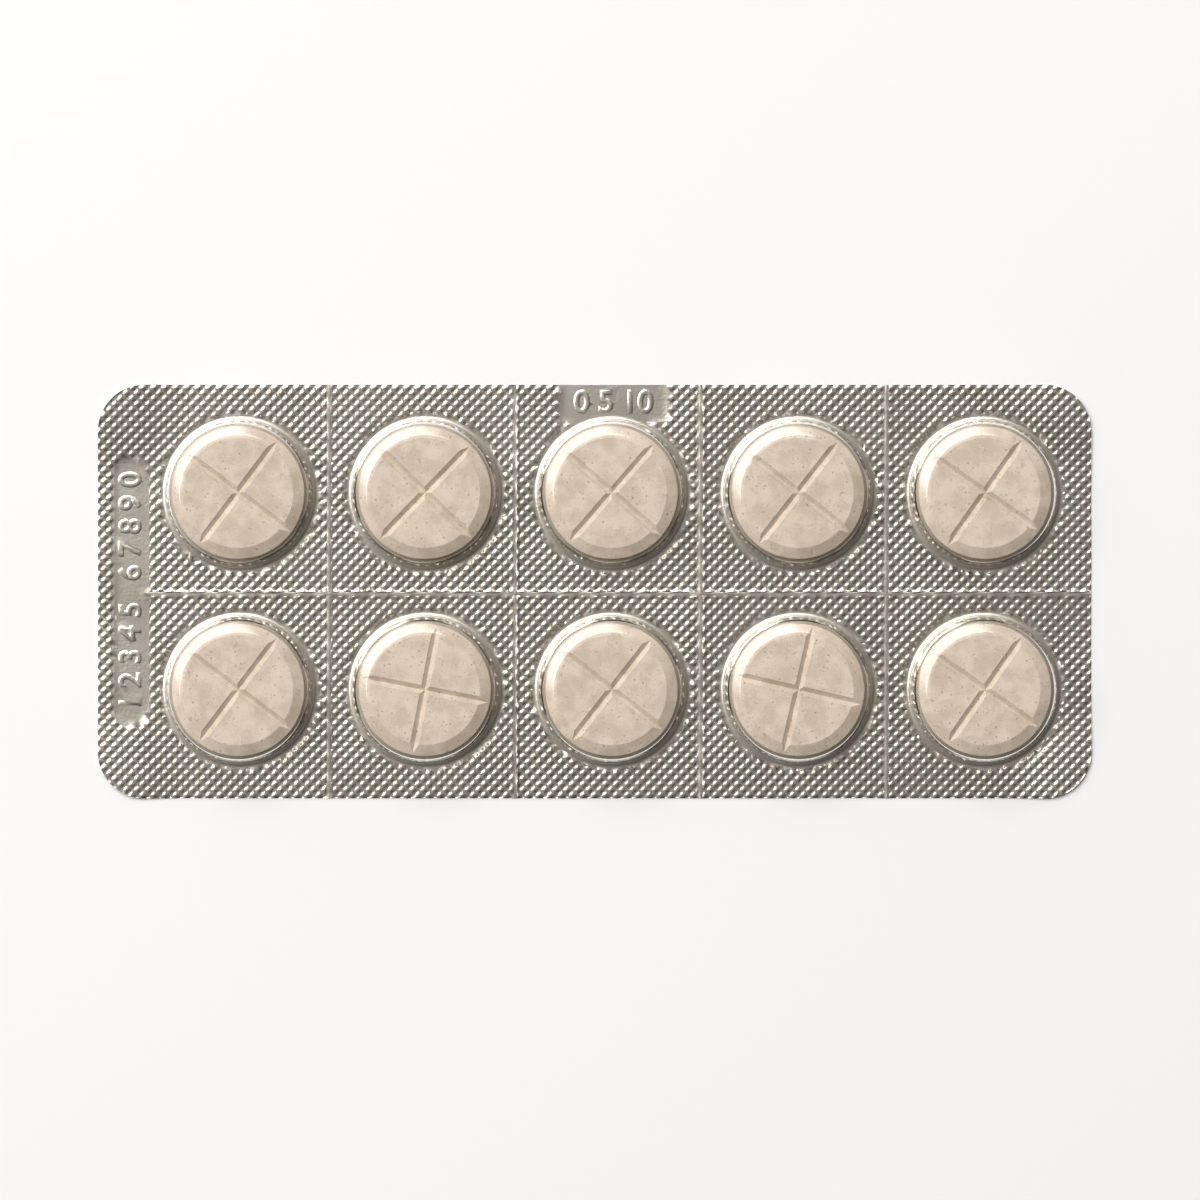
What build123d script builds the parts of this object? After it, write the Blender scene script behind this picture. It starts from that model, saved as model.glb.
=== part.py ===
from build123d import *

import os
from math import radians, tan

# A blister pack of ten cross-scored tablets, in millimetres.
#
# The pack lies on its foil. +Z is up, through the crowns of the pockets, +X runs along the pack and +Y
# across it. The origin is the middle of the foil's underside. The clear web is thermoformed from one sheet,
# so its pockets and its flat land are one solid. The foil is sealed to the land from below, and each tablet
# lies on it, loose in its pocket. The sealing tool's fine knurl is surface finish and isn't modelled here.

# Tablet: flat faced, with a bevelled edge and two score lines that cross on the upper face
tablet_diameter = 12.7
tablet_thickness = 4.0
bevel_width = 1.05
bevel_height = 0.5
bevel_round = 0.12
score_width = 0.85
score_depth = 0.4
# The way that each tablet has turned in its pocket: the angle of its first score line from +X, in degrees
upper_row_turns = (53, 46, 49, 52, 55)
lower_row_turns = (53, 79, 52, 77, 55)

# Sheet stock
foil_thickness = 0.025
web_thickness = 0.25
pocket_wall = 0.17

# Pocket: straight drafted side, a shoulder that follows the tablet's bevel, and a flat crown
side_clearance = 0.3
head_clearance = 0.4
draft_angle = 5.5
shoulder_width = 1.1
shoulder_drop = 0.55
crown_round = 0.5
shoulder_round = 0.4
foot_fillet = 0.3

# Land: the flat that is left between the pockets' feet and round them
column_land = 3.0
row_land = 4.0
side_land = 3.0
end_land = 2.9
code_land = 6.2
corner_radius = 4.5

# Tear lines: a blade presses a V notch into the web from the foil's side, which raises a low ridge above it.
# The lines are midway between the pockets, but for the tool's small error of register.
ridge_width = 0.8
ridge_height = 0.08
notch_width = 0.2
notch_depth = 0.13
tear_shift_x = -0.35
tear_shift_y = -0.2
code_strip_width = 4.8

# What follows from those
columns = len(upper_row_turns)
tablet_radius = tablet_diameter / 2
land_top = foil_thickness + web_thickness
cavity_height = tablet_thickness + head_clearance
shoulder_height = cavity_height - shoulder_drop
shoulder_radius = tablet_radius + side_clearance
crown_radius = shoulder_radius - shoulder_width
cavity_radius = shoulder_radius + shoulder_height * tan(radians(draft_angle))
foot_radius = cavity_radius + pocket_wall + foot_fillet
mouth_round = foot_fillet + pocket_wall
column_pitch = 2 * foot_radius + column_land
row_pitch = 2 * foot_radius + row_land
pack_length = code_land + 2 * foot_radius + (columns - 1) * column_pitch + end_land
pack_width = row_pitch + 2 * foot_radius + 2 * side_land
first_column_x = -pack_length / 2 + code_land + foot_radius
column_xs = [first_column_x + i * column_pitch for i in range(columns)]
upper_row_y = row_pitch / 2
lower_row_y = -row_pitch / 2


def polygon(*points):
    """A face in the XZ plane, through points given as radius and height."""
    return make_face(Plane.XZ * Polyline(*points, close=True))


def corner_near(face, radius, height):
    """The vertex of a face in the XZ plane that lies nearest to a radius and height."""
    return face.vertices().sort_by_distance((radius, 0, height))[0]


def rounded_sheet(bottom, thickness):
    """The pack's outline as a flat sheet."""
    outline = RectangleRounded(pack_length, pack_width, corner_radius)
    return Pos(0, 0, bottom) * extrude(outline, thickness)


def cavity_half():
    """Half of the room inside a pocket, from the foil up. Its foot runs a little below the foil's top."""
    overrun = web_thickness
    foot = cavity_radius + overrun * tan(radians(draft_angle))
    half = polygon(
        (0, foil_thickness - overrun),
        (foot, foil_thickness - overrun),
        (shoulder_radius, foil_thickness + shoulder_height),
        (crown_radius, foil_thickness + cavity_height),
        (0, foil_thickness + cavity_height),
    )
    half = fillet(corner_near(half, crown_radius, foil_thickness + cavity_height), crown_round)
    return fillet(corner_near(half, shoulder_radius, foil_thickness + shoulder_height), shoulder_round)


def above_foil(face, reach):
    """The part of a face in the XZ plane that lies above the foil and on the pocket's right side."""
    window = polygon((0, foil_thickness), (reach, foil_thickness), (reach, reach), (0, reach))
    return face & window


def pocket_circles(web, height):
    """The full circles where the pockets meet one face of the land, which is at the given height."""
    circles = web.edges().filter_by(GeomType.CIRCLE)
    level = [edge for edge in circles if abs(edge.center().Z - height) < web_thickness / 10]
    return [edge for edge in level if edge.is_closed]


def blister_web():
    """The clear web: its land, ten hollow pockets standing on it, and the tear lines."""
    half = cavity_half()
    reach = foot_radius + cavity_height
    bulge = above_foil(offset(half, pocket_wall, kind=Kind.ARC), reach)
    pocket = revolve(bulge, Axis.Z)
    cavity = revolve(half, Axis.Z)
    places = [Pos(x, y, 0) for y in (upper_row_y, lower_row_y) for x in column_xs]

    web = rounded_sheet(foil_thickness, web_thickness)
    web += [place * pocket for place in places]
    web = fillet(pocket_circles(web, land_top), foot_fillet)
    web -= [place * cavity for place in places]
    web = fillet(pocket_circles(web, foil_thickness), mouth_round)
    return web + tear_lines(tear_ridge) - tear_lines(tear_notch)


def prism(width, base, tip, length):
    """A triangular bar along X from x = 0, with its flat side at the base height and its edge at the tip."""
    section = Polyline((0, width / 2, base), (0, -width / 2, base), (0, 0, tip), close=True)
    return extrude(make_face(section), length, dir=(1, 0, 0))


def tear_ridge(length):
    """The raised side of a tear line, standing on the land with its foot sunk in it."""
    sunk = web_thickness / 2
    width = ridge_width * (ridge_height + sunk) / ridge_height
    return prism(width, land_top - sunk, land_top + ridge_height, length)


def tear_notch(length):
    """The blade's side of a tear line, cut into the web from below and open at the foil."""
    overrun = foil_thickness
    width = notch_width * (notch_depth + overrun) / notch_depth
    return prism(width, foil_thickness - overrun, foil_thickness + notch_depth, length)


def tear_lines(bar):
    """One bar between each two columns, and one between the rows, which stops at the code end's strip."""
    across = Pos(0, -pack_width / 2, 0) * Rot(0, 0, 90) * bar(pack_width)
    bars = [Pos(x + column_pitch / 2 + tear_shift_x, 0, 0) * across for x in column_xs[:-1]]
    start = -pack_length / 2 + code_strip_width
    bars.append(Pos(start, tear_shift_y, 0) * bar(pack_length - code_strip_width))
    return bars


def lidding_foil():
    """The aluminium foil that closes the pockets from below."""
    return rounded_sheet(0, foil_thickness)


def score_cutter():
    """A V-shaped cutter along X through the middle of the tablet's upper face, open at the top."""
    overrun = score_depth
    width = score_width * (score_depth + overrun) / score_depth
    bar = prism(width, tablet_thickness + overrun, tablet_thickness - score_depth, 2 * tablet_diameter)
    return Pos(-tablet_diameter, 0, 0) * bar


def tablet():
    """One tablet standing on z = 0, with its first score line along X."""
    face_radius = tablet_radius - bevel_width
    half = polygon(
        (0, 0),
        (face_radius, 0),
        (tablet_radius, bevel_height),
        (tablet_radius, tablet_thickness - bevel_height),
        (face_radius, tablet_thickness),
        (0, tablet_thickness),
    )
    rims = [corner for corner in half.vertices() if corner.X > face_radius / 2]
    body = revolve(fillet(rims, bevel_round), Axis.Z)
    first = score_cutter()
    second = Rot(0, 0, 90) * score_cutter()
    return body - first - second


def save(shape, name):
    export_step(shape, f"parts/{name}.step")


os.makedirs("parts", exist_ok=True)
save(blister_web(), "blister_web")
save(lidding_foil(), "lidding_foil")

turned_rows = ((upper_row_y, upper_row_turns), (lower_row_y, lower_row_turns))
number = 0
for y, turns in turned_rows:
    for x, turn in zip(column_xs, turns):
        number += 1
        placed = Pos(x, y, foil_thickness) * Rot(0, 0, turn) * tablet()
        save(placed, f"tablet_{number:02d}")

print(f"pack {pack_length:.2f} x {pack_width:.2f}, pocket foot diameter {2 * foot_radius:.2f}")
print(f"pitch {column_pitch:.2f} x {row_pitch:.2f}, height {foil_thickness + cavity_height + pocket_wall:.3f}")
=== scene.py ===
import math

import bmesh
import bpy
from mathutils import Matrix, Vector
from mathutils.geometry import delaunay_2d_cdt
from mathutils.kdtree import KDTree


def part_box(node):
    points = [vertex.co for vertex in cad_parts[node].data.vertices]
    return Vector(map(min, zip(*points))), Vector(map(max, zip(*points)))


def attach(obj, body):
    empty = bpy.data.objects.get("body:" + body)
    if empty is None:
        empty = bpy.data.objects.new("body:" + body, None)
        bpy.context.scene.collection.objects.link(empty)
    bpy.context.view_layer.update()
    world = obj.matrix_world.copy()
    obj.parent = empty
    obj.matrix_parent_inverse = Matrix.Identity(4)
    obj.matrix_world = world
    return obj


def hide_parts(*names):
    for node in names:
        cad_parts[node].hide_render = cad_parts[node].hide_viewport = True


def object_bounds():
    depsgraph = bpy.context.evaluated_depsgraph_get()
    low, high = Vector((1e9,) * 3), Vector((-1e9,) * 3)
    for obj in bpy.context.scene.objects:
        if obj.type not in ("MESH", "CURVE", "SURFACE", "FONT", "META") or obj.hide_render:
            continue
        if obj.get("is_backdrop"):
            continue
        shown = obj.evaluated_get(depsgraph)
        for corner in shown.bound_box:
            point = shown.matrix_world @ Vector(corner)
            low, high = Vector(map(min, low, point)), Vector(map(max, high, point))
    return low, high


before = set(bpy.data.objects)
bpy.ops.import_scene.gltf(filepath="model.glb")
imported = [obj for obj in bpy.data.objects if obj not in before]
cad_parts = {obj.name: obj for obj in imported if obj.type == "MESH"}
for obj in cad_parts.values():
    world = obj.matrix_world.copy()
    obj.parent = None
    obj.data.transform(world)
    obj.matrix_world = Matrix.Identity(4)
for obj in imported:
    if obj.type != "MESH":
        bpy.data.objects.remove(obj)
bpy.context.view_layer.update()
MM = 0.001


# ---- The film ---------------------------------------------------------------------------------------
# One sheet of clear PVC, 0.25 mm thick, drawn hot into ten pockets, which thins their walls. A knurled
# plate seals it to the foil over the whole land, and a blade marks its tear lines, so film and foil follow
# the same lines in plan: the outline, the pockets, the tear lines, and two plain panels left for printing.

web_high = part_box("blister_web")[1]
foil_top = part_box("lidding_foil")[1].z
film_thickness = 0.25 * MM
land_top = foil_top + film_thickness
half_length = web_high.x
half_width = web_high.y
corner_radius = 4.5 * MM
corner_steps = 27

tablet_nodes = sorted(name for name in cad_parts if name.startswith("tablet_"))
pocket_centres = []
for node in tablet_nodes:
    low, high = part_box(node)
    pocket_centres.append(((low + high) / 2).to_2d())
columns = 5
column_xs = [centre.x for centre in pocket_centres[:columns]]
row_ys = (pocket_centres[0].y, pocket_centres[columns].y)

foot_radius = 7.5 * MM
knurl_radius = 7.75 * MM
rim_flat = 0.05 * MM
pocket_sides = 72

# The knurl is square pyramids in rows at 45 degrees. A pyramid's side is cut into so many steps where it
# shows, and into fewer on the film's underside and the foil's back.
knurl_pitch = 0.753 * MM
knurl_margin = 0.06 * MM
fine_steps = 4
coarse_steps = 2
slant = math.sqrt(0.5)
edge_step = knurl_pitch / 3
merge_gap = 0.02e-6

# The tear lines lie a little off the middle between the pockets, by the tool's error of register, and the
# long one stops short of the code end.
ridge_half = 0.4 * MM
ridge_height = 0.08 * MM
crest_half = 0.14 * MM
tear_shift_x = -0.35 * MM
tear_shift_y = -0.2 * MM
tear_xs = [(a + b) / 2 + tear_shift_x for a, b in zip(column_xs, column_xs[1:])]
tear_y = sum(row_ys) / 2 + tear_shift_y
tear_start = -half_length + 4.8 * MM

# The plain panels: a long one with round ends at the code end, and one over the middle pocket
strip_x = -half_length + 3.2 * MM
strip_half = 1.75 * MM
strip_reach = 13.15 * MM
panel_x = column_xs[2] + 0.2 * MM
panel_half = 5.5 * MM
panel_low = half_width - 3.7 * MM
panel_corner = 1.0 * MM


def inside_outline(x, y):
    """How far a point lies inside the pack's outline, negative outside it."""
    over_x = abs(x) - (half_length - corner_radius)
    over_y = abs(y) - (half_width - corner_radius)
    return corner_radius - math.hypot(max(over_x, 0), max(over_y, 0)) - min(max(over_x, over_y), 0)


def from_pocket(x, y):
    """How far a point lies outside the nearest pocket's foot, negative under a pocket."""
    return min(math.hypot(x - c.x, y - c.y) for c in pocket_centres) - foot_radius


def from_tear_line(x, y):
    """How far a point lies from the nearest tear line."""
    gaps = [abs(x - tear_x) for tear_x in tear_xs]
    gaps.append(math.hypot(max(tear_start - x, 0), y - tear_y))
    return min(gaps)


def ridge_at(x, y):
    """How high a tear line's ridge stands at a point."""
    return ridge_height * max(0, 1 - from_tear_line(x, y) / ridge_half)


def from_strip(x, y):
    """How far a point lies outside the long plain strip at the code end."""
    return math.hypot(x - strip_x, max(abs(y) - (strip_reach - strip_half), 0)) - strip_half


def from_panel(x, y):
    """How far a point lies outside the plain panel between the middle pocket and the edge."""
    over_x = abs(x - panel_x) - (panel_half - panel_corner)
    over_y = (panel_low + panel_corner) - y
    return math.hypot(max(over_x, 0), max(over_y, 0)) + min(max(over_x, over_y), 0) - panel_corner


def arc(x, y, radius, start, end, steps):
    """Points along an arc, with its angles in degrees."""
    angles = [math.radians(start + (end - start) * i / steps) for i in range(steps + 1)]
    return [Vector((x + radius * math.cos(a), y + radius * math.sin(a))) for a in angles]


def ring(centre, radius):
    """The corners of a pocket's circle, without the repeated last one."""
    return arc(centre.x, centre.y, radius, 0, 360, pocket_sides)[:-1]


def spread(start, end, step):
    """Points from start to end, evenly spaced at about the step."""
    count = max(1, round((end - start).length / step))
    return [start.lerp(end, i / count) for i in range(count + 1)]


def pack_outline():
    """The pack's edge: four round corners and four straight sides, as one closed run of points."""
    x = half_length - corner_radius
    y = half_width - corner_radius
    corners = ((x, -y, -90), (x, y, 0), (-x, y, 90), (-x, -y, 180))
    points = []
    for corner_x, corner_y, turn in corners:
        bend = arc(corner_x, corner_y, corner_radius, turn, turn + 90, corner_steps)
        if points:
            points += spread(points[-1], bend[0], edge_step)[1:-1]
        points += bend
    return points + spread(points[-1], points[0], edge_step)[1:-1]


class Drawing:
    """A drawing in plan of dots and lines, which a constrained triangulation turns into a flat sheet.

    Each dot carries how far it is embossed, and how much of the knurl it takes."""

    def __init__(self):
        self.dots = []
        self.lines = []
        self.raised = []
        self.pressed = []

    def dot(self, point, raised=0.0, pressed=0.0):
        self.dots.append(Vector(point))
        self.raised.append(raised)
        self.pressed.append(pressed)
        return len(self.dots) - 1

    def run(self, points, closed=False, pressed=None):
        """Joins points in a row, or in a ring, with lines that the sheet's faces keep as their edges.
        pressed(x, y) says which of the points take the knurl, or else none does."""
        marks = [self.dot(point, pressed=float(pressed(*point)) if pressed else 0.0) for point in points]
        self.lines += list(zip(marks, marks[1:]))
        if closed:
            self.lines.append((marks[-1], marks[0]))

    def lattice(self, steps, keeps, pressed):
        """Dots on the knurl's slanting grid wherever keeps(x, y) allows, with so many steps to a pyramid's
        side, and lines along the pyramids' edges."""
        step = knurl_pitch / steps
        reach = int((half_length + half_width) / step)
        marks = {}
        for i in range(-reach, reach + 1):
            for j in range(-reach, reach + 1):
                x = (i - j) * step * slant
                y = (i + j) * step * slant
                if abs(x) < half_length and abs(y) < half_width and keeps(x, y):
                    marks[i, j] = self.dot((x, y), pressed=pressed)
        for (i, j), mark in marks.items():
            if (i - j) % steps == 0 and (i + 1, j + 1) in marks:
                self.lines.append((mark, marks[i + 1, j + 1]))
            if (i + j) % steps == 0 and (i + 1, j - 1) in marks:
                self.lines.append((mark, marks[i + 1, j - 1]))

    def mesh(self, name, level, keeps):
        """The sheet at a level, as a mesh. keeps(x, y) says which of the triangles belong to it. A corner
        that is added where two lines cross is raised as the nearest dot is, and takes no knurl."""
        flat, _, triangles, sources, _, _ = delaunay_2d_cdt(self.dots, self.lines, [], 0, merge_gap)
        kept = []
        for triangle in triangles:
            middle = sum((flat[k] for k in triangle), Vector((0, 0))) / 3
            if keeps(*middle):
                kept.append(triangle)
        tree = KDTree(len(self.dots))
        for mark, dot in enumerate(self.dots):
            tree.insert(dot.to_3d(), mark)
        tree.balance()
        nearest = [marks or [tree.find(point.to_3d())[1]] for point, marks in zip(flat, sources)]
        raised = [max(self.raised[mark] for mark in marks) for marks in nearest]
        pressed = [min((self.pressed[mark] for mark in marks), default=0.0) for marks in sources]
        places = [(p.x, p.y, level + ridge_at(*p) + lift) for p, lift in zip(flat, raised)]
        mesh = bpy.data.meshes.new(name)
        mesh.from_pydata(places, [], kept)
        mesh.attributes.new("pressed", "FLOAT", "POINT").data.foreach_set("value", pressed)
        return mesh


def on_land(x, y):
    return from_pocket(x, y) > 0


def under_knurl(x, y):
    """Whether the knurled plate presses on a point, which may lie past the outline, as packs are cut out
    after they are pressed."""
    if from_pocket(x, y) < knurl_radius - foot_radius or from_tear_line(x, y) < crest_half + knurl_margin:
        return False
    return min(from_strip(x, y), from_panel(x, y)) > 0


def knurled(x, y):
    """Whether the plate presses on a point that is well inside the outline."""
    return inside_outline(x, y) > knurl_margin and under_knurl(x, y)


def draw_tear_lines(drawing):
    """Each tear line's crest, with a line close on each side of it."""
    for offset in (-crest_half, 0, crest_half):
        for x in tear_xs:
            low_end = Vector((x + offset, -half_width))
            high_end = Vector((x + offset, half_width))
            drawing.run(spread(low_end, high_end, knurl_pitch))
        left_end = Vector((tear_start, tear_y + offset))
        right_end = Vector((half_length, tear_y + offset))
        drawing.run(spread(left_end, right_end, knurl_pitch))


# Plain counting digits are embossed in the panels, where a pack carries its printing. A stroke's profile
# gives how far in from the digit's outline it has risen by what share of its height, and a line of digits
# has its size, its centre and its turn.
digit_height = 0.055 * MM
digit_profile = (
    (-0.15 * MM, 0.0),
    (-0.12 * MM, 0.0),
    (-0.07 * MM, 0.4),
    (-0.02 * MM, 0.85),
    (0.03 * MM, 1.0),
)
digit_curve_steps = 4
strip_digit_size = 2.9 * MM
strip_digits_y = 6.3 * MM
panel_digit_size = 3.0 * MM
panel_digits_y = half_width - 1.75 * MM
lettering = (
    ("1 2 3 4 5", strip_digit_size, strip_x, -strip_digits_y, 90),
    ("6 7 8 9 0", strip_digit_size, strip_x, strip_digits_y, 90),
    ("0 5 10", panel_digit_size, panel_x, panel_digits_y, 0),
)


def digit_outlines(words, size, x, y, turn, shrink):
    """The outlines of a line of digits centred on a point, as the two ends of each of their edges."""
    curve = bpy.data.curves.new("digits", "FONT")
    curve.body = words
    curve.size = size
    curve.align_x = "CENTER"
    curve.align_y = "CENTER"
    curve.resolution_u = digit_curve_steps
    curve.offset = -shrink
    text = bpy.data.objects.new("digits", curve)
    bpy.context.scene.collection.objects.link(text)
    mesh = bpy.data.meshes.new_from_object(text.evaluated_get(bpy.context.evaluated_depsgraph_get()))
    bpy.data.objects.remove(text)
    mesh.transform(Matrix.Translation((x, y, 0)) @ Matrix.Rotation(math.radians(turn), 4, "Z"))
    shape = bmesh.new()
    shape.from_mesh(mesh)
    edges = [edge for edge in shape.edges if len(edge.link_faces) == 1]
    ends = [(edge.verts[0].co.to_2d(), edge.verts[1].co.to_2d()) for edge in edges]
    shape.free()
    return ends


digit_feet = [ends for line in lettering for ends in digit_outlines(*line, digit_profile[0][0])]


def in_digit(x, y):
    """Whether a point lies inside a digit's foot: a line from it to the right then crosses the foot's
    outline an odd number of times."""
    inside = False
    for a, b in digit_feet:
        if (a.y > y) != (b.y > y) and x < a.x + (y - a.y) * (b.x - a.x) / (b.y - a.y):
            inside = not inside
    return inside


def plain(x, y):
    """Whether a point lies in one of the plain panels, clear of the digits."""
    if min(inside_outline(x, y), from_pocket(x, y)) < knurl_margin:
        return False
    return min(from_strip(x, y), from_panel(x, y)) < 0 and not in_digit(x, y)


def draw_digits(drawing):
    """Each digit's stroke: its foot on the sheet, and inside that the lines up to its rounded top."""
    for line in lettering:
        for inward, share in digit_profile:
            for ends in digit_outlines(*line, inward):
                marks = [drawing.dot(end, digit_height * share) for end in ends]
                drawing.lines.append(tuple(marks))


def land_drawing(steps):
    """Everything that film and foil have in common, with so many steps to a pyramid's side."""
    drawing = Drawing()
    drawing.run(pack_outline(), closed=True, pressed=under_knurl)
    for centre in pocket_centres:
        drawing.run(ring(centre, foot_radius), closed=True)
        for point in ring(centre, foot_radius + rim_flat) + ring(centre, knurl_radius):
            drawing.dot(point)
    draw_tear_lines(drawing)
    draw_digits(drawing)
    drawing.lattice(steps, knurled, pressed=1.0)
    drawing.lattice(1, plain, pressed=0.0)
    return drawing


class Socket:
    """A node's output socket. Python's operators join it to others, and to numbers, by Math nodes."""

    def __init__(self, nodes, source):
        self.nodes = nodes
        self.source = source

    def maths(self, operation, *values):
        return self.nodes.add("ShaderNodeMath", {"operation": operation}, dict(enumerate(values)))

    def __add__(self, other):
        return self.maths("ADD", self, other)

    def __radd__(self, other):
        return self.maths("ADD", other, self)

    def __sub__(self, other):
        return self.maths("SUBTRACT", self, other)

    def __rsub__(self, other):
        return self.maths("SUBTRACT", other, self)

    def __mul__(self, other):
        return self.maths("MULTIPLY", self, other)

    def __rmul__(self, other):
        return self.maths("MULTIPLY", other, self)

    def __truediv__(self, other):
        return self.maths("DIVIDE", self, other)

    def __rtruediv__(self, other):
        return self.maths("DIVIDE", other, self)

    def at_least(self, other):
        return self.maths("MAXIMUM", self, other)

    def at_most(self, other):
        return self.maths("MINIMUM", self, other)

    def magnitude(self):
        return self.maths("ABSOLUTE", self)

    def bounce(self, limit):
        """A wave that climbs from 0 to the limit and back, as a zigzag."""
        return self.maths("PINGPONG", self, limit)

    def ramp(self, low, high):
        """0 below low, 1 above high, and smooth between."""
        values = {"Value": self, "From Min": low, "From Max": high}
        return self.nodes.add("ShaderNodeMapRange", {"interpolation_type": "SMOOTHSTEP"}, values)


class Nodes:
    """A node tree that is being built, for a material or for geometry."""

    def __init__(self, tree):
        self.tree = tree

    def add(self, kind, settings=None, values=None, output=None):
        """Adds a node, sets it, plugs values or links into its sockets, and returns one of its outputs: the
        named one, or else the first that its settings leave in use."""
        node = self.tree.nodes.new(kind)
        for name, setting in (settings or {}).items():
            setattr(node, name, setting)
        for name, value in (values or {}).items():
            self.plug(self.find(node.inputs, name), value)
        return Socket(self, self.find(node.outputs, output))

    @staticmethod
    def find(sockets, name):
        if isinstance(name, int):
            return sockets[name]
        return next(s for s in sockets if s.enabled and name in (None, s.name))

    def plug(self, socket, value):
        if isinstance(value, Socket):
            self.tree.links.new(value.source, socket)
        else:
            socket.default_value = value

    def finish(self, kind, socket, result):
        """Adds the tree's output node, and plugs the result into its socket."""
        self.plug(self.tree.nodes.new(kind).inputs[socket], result)


def press_tree():
    """A geometry tree that presses a flat sheet: slanting rows of small pyramids, as deep as each corner's
    pressed value says, and slow buckles that die out towards the pockets' feet."""
    tree = bpy.data.node_groups.new("press_sheet", "GeometryNodeTree")
    tree.is_modifier = True
    inputs = (
        ("Geometry", "NodeSocketGeometry"),
        ("Pitch", "NodeSocketFloat"),
        ("Depth", "NodeSocketFloat"),
        ("Unevenness", "NodeSocketFloat"),
        ("Buckle Height", "NodeSocketFloat"),
        ("Buckle Size", "NodeSocketFloat"),
        ("Wear Seed", "NodeSocketFloat"),
        ("Buckle Seed", "NodeSocketFloat"),
        ("Material", "NodeSocketMaterial"),
    )
    for name, kind in inputs:
        tree.interface.new_socket(name, in_out="INPUT", socket_type=kind)
    tree.interface.new_socket("Geometry", in_out="OUTPUT", socket_type="NodeSocketGeometry")
    nodes = Nodes(tree)
    group = tree.nodes.new("NodeGroupInput")
    given = {socket.name: Socket(nodes, socket) for socket in group.outputs if socket.name}

    position = nodes.add("GeometryNodeInputPosition")
    split = nodes.add("ShaderNodeSeparateXYZ", None, {"Vector": position}).source.node
    x = Socket(nodes, split.outputs["X"])
    y = Socket(nodes, split.outputs["Y"])
    half_pitch = given["Pitch"] / 2
    along = ((x + y) * slant).bounce(half_pitch)
    across = ((y - x) * slant).bounce(half_pitch)
    pyramid = along.at_most(across) / half_pitch

    plan = nodes.add("ShaderNodeCombineXYZ", None, {"X": x, "Y": y})
    seeded = {"noise_dimensions": "4D"}
    spots = {"Vector": plan, "Scale": 1 / given["Buckle Size"], "Detail": 1.0}
    worn = nodes.add("ShaderNodeTexNoise", seeded, {**spots, "W": given["Wear Seed"]})
    slow = nodes.add("ShaderNodeTexNoise", seeded, {**spots, "W": given["Buckle Seed"]})
    attribute = {"data_type": "FLOAT"}
    pressed = nodes.add("GeometryNodeInputNamedAttribute", attribute, {"Name": "pressed"})
    slack = nodes.add("GeometryNodeInputNamedAttribute", attribute, {"Name": "slack"})
    curl = nodes.add("GeometryNodeInputNamedAttribute", attribute, {"Name": "curl"})
    depth = given["Depth"] * (1 + given["Unevenness"] * (worn - 0.5))
    lift = pyramid * depth * pressed + (slow - 0.5) * given["Buckle Height"] * slack + curl

    offset = nodes.add("ShaderNodeCombineXYZ", None, {"Z": lift})
    moved = nodes.add("GeometryNodeSetPosition", None, {"Geometry": given["Geometry"], "Offset": offset})
    real = nodes.add("GeometryNodeRealizeInstances", None, {"Geometry": moved})
    finished = nodes.add("GeometryNodeSetMaterial", None, {"Geometry": real, "Material": given["Material"]})
    nodes.finish("NodeGroupOutput", "Geometry", finished)
    return tree


# The land is held flat at the pockets' feet and is free to buckle further out. The curl of each corner
# starts at its reach, and is full at its top.
slack_reach = 1.2 * MM
curl_height = 0.25 * MM
curl_reach = 9.0 * MM
curl_top = 1.8 * MM
press_settings = {
    "Pitch": knurl_pitch,
    "Unevenness": 0.8,
    "Buckle Height": 0.13 * MM,
    "Buckle Size": 9.0 * MM,
    "Wear Seed": 3.0,
    "Buckle Seed": 8.0,
}


def smooth(low, high, value):
    """0 below low, 1 above high, and smooth between."""
    share = min(1.0, max(0.0, (value - low) / (high - low)))
    return share * share * (3 - 2 * share)


def mark_slack(mesh):
    """Marks how freely each point of the sheet can buckle, and how far the pack's corners have curled up."""
    slack = []
    curl = []
    for vertex in mesh.vertices:
        x, y, _ = vertex.co
        free = smooth(0, slack_reach, from_pocket(x, y))
        to_corner = math.hypot(half_length - abs(x), half_width - abs(y))
        slack.append(free)
        curl.append(curl_height * free * (1 - smooth(curl_top, curl_reach, to_corner)))
    mesh.attributes.new("slack", "FLOAT", "POINT").data.foreach_set("value", slack)
    mesh.attributes.new("curl", "FLOAT", "POINT").data.foreach_set("value", curl)


press_sheet = press_tree()


def pressed_mesh(mesh, depth, material):
    """The mesh after the press, with its knurl as deep as given."""
    mark_slack(mesh)
    sheet = bpy.data.objects.new("sheet", mesh)
    bpy.context.scene.collection.objects.link(sheet)
    modifier = sheet.modifiers.new("press", "NODES")
    modifier.node_group = press_sheet
    settings = {**press_settings, "Depth": depth, "Material": material}
    for socket in press_sheet.interface.items_tree:
        if socket.in_out == "INPUT" and socket.name in settings:
            modifier[socket.identifier] = settings[socket.name]
    done = bpy.data.meshes.new_from_object(sheet.evaluated_get(bpy.context.evaluated_depsgraph_get()))
    bpy.data.objects.remove(sheet)
    return done


# The pockets' section, and how deep the plate presses each sheet
draft_angle = math.radians(5.5)
shoulder_radius = 6.65 * MM
shoulder_rise = 3.85 * MM
crown_radius = 5.55 * MM
crown_rise = 4.4 * MM
pocket_wall = 0.17 * MM
crown_round = 0.5 * MM
shoulder_round = 0.4 * MM
round_steps = 4
film_knurl = 0.04 * MM
foil_knurl = 0.13 * MM
seal_gap = 0.004 * MM
weld_gap = 0.5e-6
crease_angle = math.radians(60)


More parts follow.
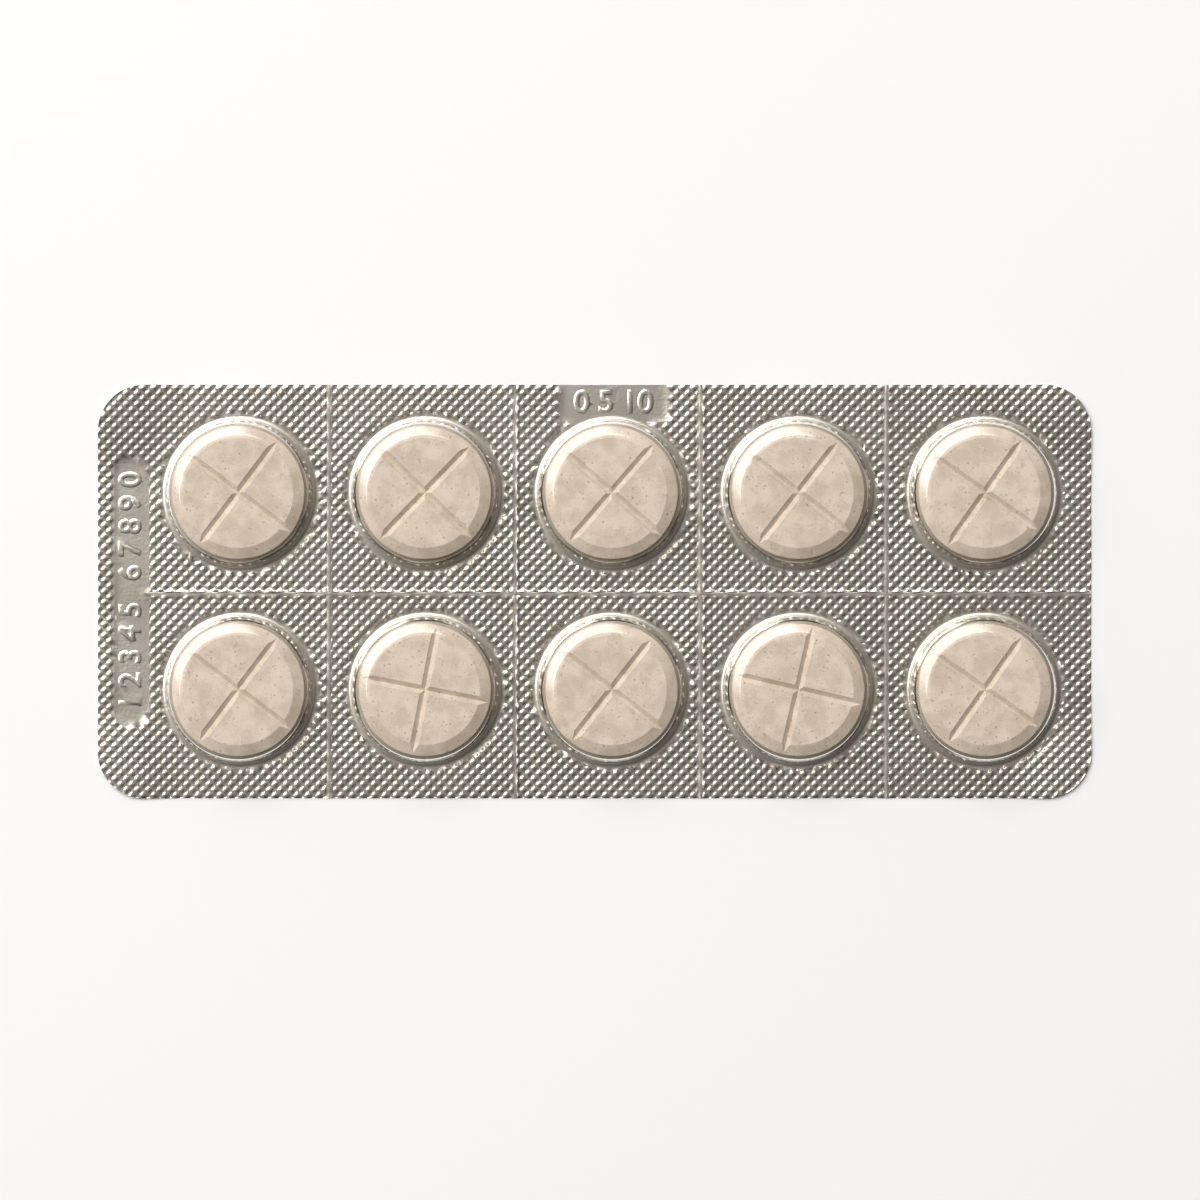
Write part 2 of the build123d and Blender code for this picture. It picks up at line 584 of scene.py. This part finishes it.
def rounded_line(corners, radii, steps):
    """The corners of a line, with each inner one replaced by the points of a round of the given radius."""
    points = [corners[0]]
    for before, corner, after, radius in zip(corners, corners[1:], corners[2:], radii):
        back = (before - corner).normalized()
        ahead = (after - corner).normalized()
        half = back.angle(ahead) / 2
        centre = corner + (back + ahead).normalized() * radius / math.sin(half)
        start = corner + back * radius / math.tan(half) - centre
        end = corner + ahead * radius / math.tan(half) - centre
        points += [centre + start.slerp(end, i / steps) * radius for i in range(steps + 1)]
    return points + [corners[-1]]


def pocket_profile(out, base):
    """Half of a pocket's section as radius and height: from a foot at the base height, up its drafted side,
    over the shoulder to the middle of the crown. It lies the given distance outside the cavity."""
    lean = Vector((math.cos(draft_angle), math.sin(draft_angle)))
    cone = Vector((crown_rise - shoulder_rise, shoulder_radius - crown_radius)).normalized()
    up = Vector((0, 1))
    shoulder = Vector((shoulder_radius, foil_top + shoulder_rise))
    crown = Vector((crown_radius, foil_top + crown_rise))
    shoulder += (lean + cone) * out / (1 + lean.dot(cone))
    crown += (cone + up) * out / (1 + cone.dot(up))
    foot = Vector((shoulder.x + (shoulder.y - base) * math.tan(draft_angle), base))
    land = Vector((foot_radius, base))
    middle = Vector((0, crown.y))
    fillet = (foot_radius - foot.x) / math.tan((math.pi / 2 - draft_angle) / 2)
    rounds = (fillet, shoulder_round + out, crown_round + out)
    return rounded_line([land, foot, shoulder, crown, middle], rounds, round_steps)


def turn_pocket(shape, profile, centre):
    """Turns a half section round a pocket's centre, and closes it at its middle."""
    rings = []
    for radius, height in profile[:-1]:
        rings.append([shape.verts.new((*point, height)) for point in ring(centre, radius)])
    top = shape.verts.new((*centre, profile[-1].y))
    for k in range(pocket_sides):
        after = (k + 1) % pocket_sides
        for outer, inner in zip(rings, rings[1:]):
            shape.faces.new([outer[k], outer[after], inner[after], inner[k]])
        shape.faces.new([rings[-1][k], rings[-1][after], top])


def closed_sheet(top, bottom, add_between=None):
    """Two pressed sheets over each other, joined along their outer edges. What add_between adds to the
    shape is welded to both."""
    shape = bmesh.new()
    shape.from_mesh(top)
    shape.from_mesh(bottom)
    if add_between:
        add_between(shape)
    bmesh.ops.remove_doubles(shape, verts=shape.verts, dist=weld_gap)
    rims = [edge for edge in shape.edges if edge.is_boundary]
    bmesh.ops.bridge_loops(shape, edges=rims)
    bmesh.ops.recalc_face_normals(shape, faces=shape.faces)
    return shape


def finish_piece(name, shape, material, node):
    """Turns a finished shape into a piece that takes the given node's place, and returns its mesh."""
    mesh = bpy.data.meshes.new(name)
    shape.to_mesh(mesh)
    shape.free()
    mesh.materials.append(material)
    mesh.shade_smooth()
    mesh.set_sharp_from_angle(angle=crease_angle)
    piece = bpy.data.objects.new(name, mesh)
    bpy.context.scene.collection.objects.link(piece)
    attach(piece, "root")
    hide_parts(node)
    return mesh


def shader_nodes(owner):
    """The emptied node tree of a material, a light or the world."""
    owner.use_nodes = True
    owner.node_tree.nodes.clear()
    return Nodes(owner.node_tree)


def clear_film():
    """Clear glossy PVC. It bends and mirrors what is seen through it, and lets the lamp's light straight
    in."""
    material = bpy.data.materials.new("clear_film")
    nodes = shader_nodes(material)
    place = nodes.add("ShaderNodeTexCoord", output="Object")
    ripple = nodes.add("ShaderNodeTexNoise", None, {"Vector": place, "Scale": 260.0, "Detail": 2.0})
    haze = nodes.add("ShaderNodeTexNoise", None, {"Vector": place, "Scale": 900.0, "Detail": 3.0})
    normal = nodes.add("ShaderNodeBump", None, {"Strength": 0.25, "Distance": 0.05 * MM, "Height": ripple})
    glass = nodes.add("ShaderNodeBsdfGlass", None, {
        "Color": (0.985, 0.973, 0.955, 1.0),
        "Roughness": 0.01 + 0.04 * haze.ramp(0.35, 0.75),
        "IOR": 1.53,
        "Normal": normal,
    })
    clear = nodes.add("ShaderNodeBsdfTransparent", None, {"Color": (0.94, 0.935, 0.925, 1.0)})
    seen = nodes.add("ShaderNodeLightPath", output="Is Camera Ray")
    seen_through = nodes.add("ShaderNodeLightPath", output="Is Transmission Ray")
    shader = nodes.add("ShaderNodeMixShader", None, {0: seen.at_least(seen_through), 1: clear, 2: glass})
    nodes.finish("ShaderNodeOutputMaterial", "Surface", shader)
    return material


film_material = clear_film()


def turn_film_pockets(shape):
    """The ten pockets, each with its outer and its inner face."""
    outer = pocket_profile(pocket_wall, land_top)
    inner = pocket_profile(0.0, foil_top + seal_gap)
    for centre in pocket_centres:
        turn_pocket(shape, outer, centre)
        turn_pocket(shape, inner, centre)


# The film's face towards the foil follows the foil, just above it
film_face = land_drawing(fine_steps).mesh("film_face", land_top, on_land)
film_underside = land_drawing(coarse_steps).mesh("film_underside", foil_top + seal_gap, on_land)
film = closed_sheet(
    pressed_mesh(film_face, film_knurl, film_material),
    pressed_mesh(film_underside, foil_knurl, film_material),
    turn_film_pockets,
)
finish_piece("blister_film", film, film_material, "blister_web")


# ---- The foil ---------------------------------------------------------------------------------------
# Hard-rolled aluminium foil, 25 microns thick, sealed to the film from below by the knurled plate. It is
# bright, with the rolling mill's fine streaks along the pack, and flat and plain under the pockets.

bulge_height = 0.07 * MM
bulge_reach = 1.4 * MM
bulge_profile = (
    (0.15 * MM, 0.12),
    (0.25 * MM, 0.45),
    (0.35 * MM, 0.85),
    (0.42 * MM, 1.0),
    (0.70 * MM, 0.72),
    (1.15 * MM, 0.12),
    (bulge_reach, 0.0),
)


def anywhere(x, y):
    return True


def under_tablet(x, y):
    return from_pocket(x, y) < -bulge_reach - knurl_margin


def draw_bulges(drawing):
    """Round each pocket's mouth the loose foil stands up from its seal, and slopes down to the tablet's
    foot. The profile gives how far in from the seal it has what share of its height."""
    for centre in pocket_centres:
        for inward, share in bulge_profile:
            for point in ring(centre, foot_radius - inward):
                drawing.dot(point, raised=bulge_height * share)


def foil_sheet(name, steps, level, material):
    """One face of the foil, at a level, with so many steps to a pyramid's side."""
    drawing = land_drawing(steps)
    drawing.lattice(1, under_tablet, pressed=0.0)
    draw_bulges(drawing)
    return pressed_mesh(drawing.mesh(name, level, anywhere), foil_knurl, material)


def bright_foil():
    """Bright aluminium, streaked and faintly clouded."""
    material = bpy.data.materials.new("bright_foil")
    nodes = shader_nodes(material)
    place = nodes.add("ShaderNodeTexCoord", output="Object")
    lengthwise = nodes.add("ShaderNodeMapping", None, {"Vector": place, "Scale": (0.06, 1.0, 1.0)})
    streaks = nodes.add("ShaderNodeTexNoise", None, {"Vector": lengthwise, "Scale": 6000.0, "Detail": 2.0})
    cloud = nodes.add("ShaderNodeTexNoise", None, {"Vector": place, "Scale": 180.0, "Detail": 4.0})
    pressed = nodes.add("ShaderNodeAttribute", {"attribute_name": "pressed"}, None, "Fac")
    color = nodes.add("ShaderNodeMix", {"data_type": "RGBA"}, {
        "Factor": cloud.ramp(0.3, 0.7),
        "A": (0.79, 0.75, 0.69, 1.0),
        "B": (0.87, 0.83, 0.77, 1.0),
    })
    grain = nodes.add("ShaderNodeTexNoise", None, {"Vector": place, "Scale": 3500.0, "Detail": 2.0})
    rough = streaks * 0.5 + grain
    normal = nodes.add("ShaderNodeBump", None, {"Strength": 0.6, "Distance": 0.02 * MM, "Height": rough})
    shader = nodes.add("ShaderNodeBsdfPrincipled", None, {
        "Base Color": color,
        "Metallic": 1.0,
        "Roughness": 0.26 - 0.05 * pressed + 0.05 * cloud + 0.03 * streaks,
        "Normal": normal,
    })
    nodes.finish("ShaderNodeOutputMaterial", "Surface", shader)
    return material


foil_material = bright_foil()
foil = closed_sheet(
    foil_sheet("foil_face", fine_steps, foil_top, foil_material),
    foil_sheet("foil_back", coarse_steps, 0, foil_material),
)
foil_mesh = finish_piece("foil", foil, foil_material, "lidding_foil")

# On the back, each side of a pyramid is a flat of its own
pressed_marks = [mark.value for mark in foil_mesh.attributes["pressed"].data]
for face in foil_mesh.polygons:
    if face.normal.z < 0 and all(pressed_marks[k] > 0 for k in face.vertices):
        face.use_smooth = False


# ---- The tablets ------------------------------------------------------------------------------------
# Ten pressed tablets with bevelled edges and two crossed score lines, loose on the foil in their pockets.
# They are compressed powder, warm off-white, matt, with fine specks and grains of darker matter.


def pressed_powder():
    """Compressed powder: softly mottled and grainy, with fine dark grains and a few paler ones."""
    material = bpy.data.materials.new("pressed_powder")
    nodes = shader_nodes(material)
    place = nodes.add("ShaderNodeTexCoord", output="Object")
    mottle = nodes.add("ShaderNodeTexNoise", None, {"Vector": place, "Scale": 650.0, "Detail": 6.0})
    grain = nodes.add("ShaderNodeTexNoise", None, {"Vector": place, "Scale": 6500.0, "Detail": 3.0})
    smudge = nodes.add("ShaderNodeTexNoise", None, {
        "Vector": place,
        "Scale": 2400.0,
        "Detail": 2.0,
        "Distortion": 1.5,
    })
    body = nodes.add("ShaderNodeMix", {"data_type": "RGBA"}, {
        "Factor": (0.7 * mottle + 0.3 * grain).ramp(0.38, 0.62),
        "A": (0.72, 0.61, 0.505, 1.0),
        "B": (0.875, 0.765, 0.655, 1.0),
    })
    cells = nodes.add("ShaderNodeTexVoronoi", {"feature": "F1"}, {"Vector": place, "Scale": 1900.0})
    rare = nodes.add("ShaderNodeTexNoise", None, {"Vector": place, "Scale": 1300.0, "Detail": 1.0})
    speck = (1 - cells.ramp(0.10, 0.26)) * rare.ramp(0.52, 0.60)
    streak = smudge.ramp(0.63, 0.72) * 0.5
    color = nodes.add("ShaderNodeMix", {"data_type": "RGBA"}, {
        "Factor": (speck * 0.7).at_least(streak),
        "A": body,
        "B": (0.33, 0.25, 0.175, 1.0),
    })
    relief = grain + 0.6 * mottle - 0.5 * speck
    normal = nodes.add("ShaderNodeBump", None, {"Strength": 0.7, "Distance": 0.03 * MM, "Height": relief})
    shader = nodes.add("ShaderNodeBsdfPrincipled", None, {
        "Base Color": color,
        "Roughness": 0.62 + 0.2 * grain,
        "Normal": normal,
    })
    nodes.finish("ShaderNodeOutputMaterial", "Surface", shader)
    return material


powder = pressed_powder()
for node in tablet_nodes:
    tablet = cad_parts[node]
    tablet.data.materials.clear()
    tablet.data.materials.append(powder)


# ---- The studio -------------------------------------------------------------------------------------
# A white table, a large soft light from the upper left, and a camera straight above.

table_half = 2.0


def white_laminate():
    """The table's matt white top."""
    material = bpy.data.materials.new("white_laminate")
    material.use_nodes = True
    shader = material.node_tree.nodes["Principled BSDF"]
    shader.inputs["Base Color"].default_value = (0.92, 0.92, 0.92, 1.0)
    shader.inputs["Roughness"].default_value = 0.7
    return material


table_mesh = bpy.data.meshes.new("table")
table_corners = [(-1, -1, 0), (1, -1, 0), (1, 1, 0), (-1, 1, 0)]
table_mesh.from_pydata([Vector(corner) * table_half for corner in table_corners], [], [(0, 1, 2, 3)])
table_mesh.materials.append(white_laminate())
table = bpy.data.objects.new("table", table_mesh)
bpy.context.scene.collection.objects.link(table)
table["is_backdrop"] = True


def soft_light(name, azimuth, tilt, distance, width, height, power):
    """A softbox that faces the pack and fades towards its rim, with its azimuth from +X and its tilt from
    straight up in degrees."""
    light = bpy.data.lights.new(name, "AREA")
    light.shape = "RECTANGLE"
    light.size = width
    light.size_y = height
    light.energy = power
    nodes = shader_nodes(light)
    spot = nodes.add("ShaderNodeNewGeometry", output="Parametric")
    fade = 1
    for axis in "XY":
        from_middle = (nodes.add("ShaderNodeSeparateXYZ", None, {"Vector": spot}, axis) - 0.5).magnitude()
        fade = fade * (1 - from_middle.ramp(0.3, 0.5))
    glow = nodes.add("ShaderNodeEmission", None, {"Strength": fade})
    nodes.finish("ShaderNodeOutputLight", "Surface", glow)
    lamp = bpy.data.objects.new(name, light)
    bpy.context.scene.collection.objects.link(lamp)
    turn = math.radians(azimuth)
    lean = math.radians(tilt)
    away = Vector((math.cos(turn) * math.sin(lean), math.sin(turn) * math.sin(lean), math.cos(lean)))
    lamp.location = away * distance
    lamp.rotation_euler = away.to_track_quat("Z", "Y").to_euler()


soft_light("key", azimuth=129, tilt=39, distance=1.5, width=2.25, height=1.42, power=45.5)


def studio_world():
    """The room round the table: pale at eye level, and overhead darker away from the lamp's side."""
    world = bpy.data.worlds.new("studio")
    nodes = shader_nodes(world)
    way = nodes.add("ShaderNodeTexCoord", output="Generated")
    to_lamp = Vector((-1, 1, 0)).normalized()
    towards = nodes.add("ShaderNodeVectorMath", {"operation": "DOT_PRODUCT"}, {0: way, 1: to_lamp}, "Value")
    height = nodes.add("ShaderNodeSeparateXYZ", None, {"Vector": way}, "Z")
    ceiling = (0.24 + 0.42 * towards).at_least(0.05)
    low_down = 1 - height.ramp(0.15, 0.45)
    glow = nodes.add("ShaderNodeBackground", None, {
        "Color": (1.0, 0.97, 0.93, 1.0),
        "Strength": ceiling * (1 - low_down) + (0.35 + 0.2 * towards) * low_down,
    })
    nodes.finish("ShaderNodeOutputWorld", "Surface", glow)
    return world


bpy.context.scene.world = studio_world()
bpy.context.scene.view_settings.view_transform = "Standard"

camera_height = 0.85
camera_x = 0.53 * MM
camera_y = -0.82 * MM
field_width = 116.05 * MM
sensor_width = 36.0
camera = bpy.data.objects.new("camera", bpy.data.cameras.new("camera"))
bpy.context.scene.collection.objects.link(camera)
camera.location = (camera_x, camera_y, camera_height)
camera.data.sensor_width = sensor_width
camera.data.lens = sensor_width * camera_height / field_width
camera.data.clip_start = 0.05
bpy.context.scene.camera = camera

low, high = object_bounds()
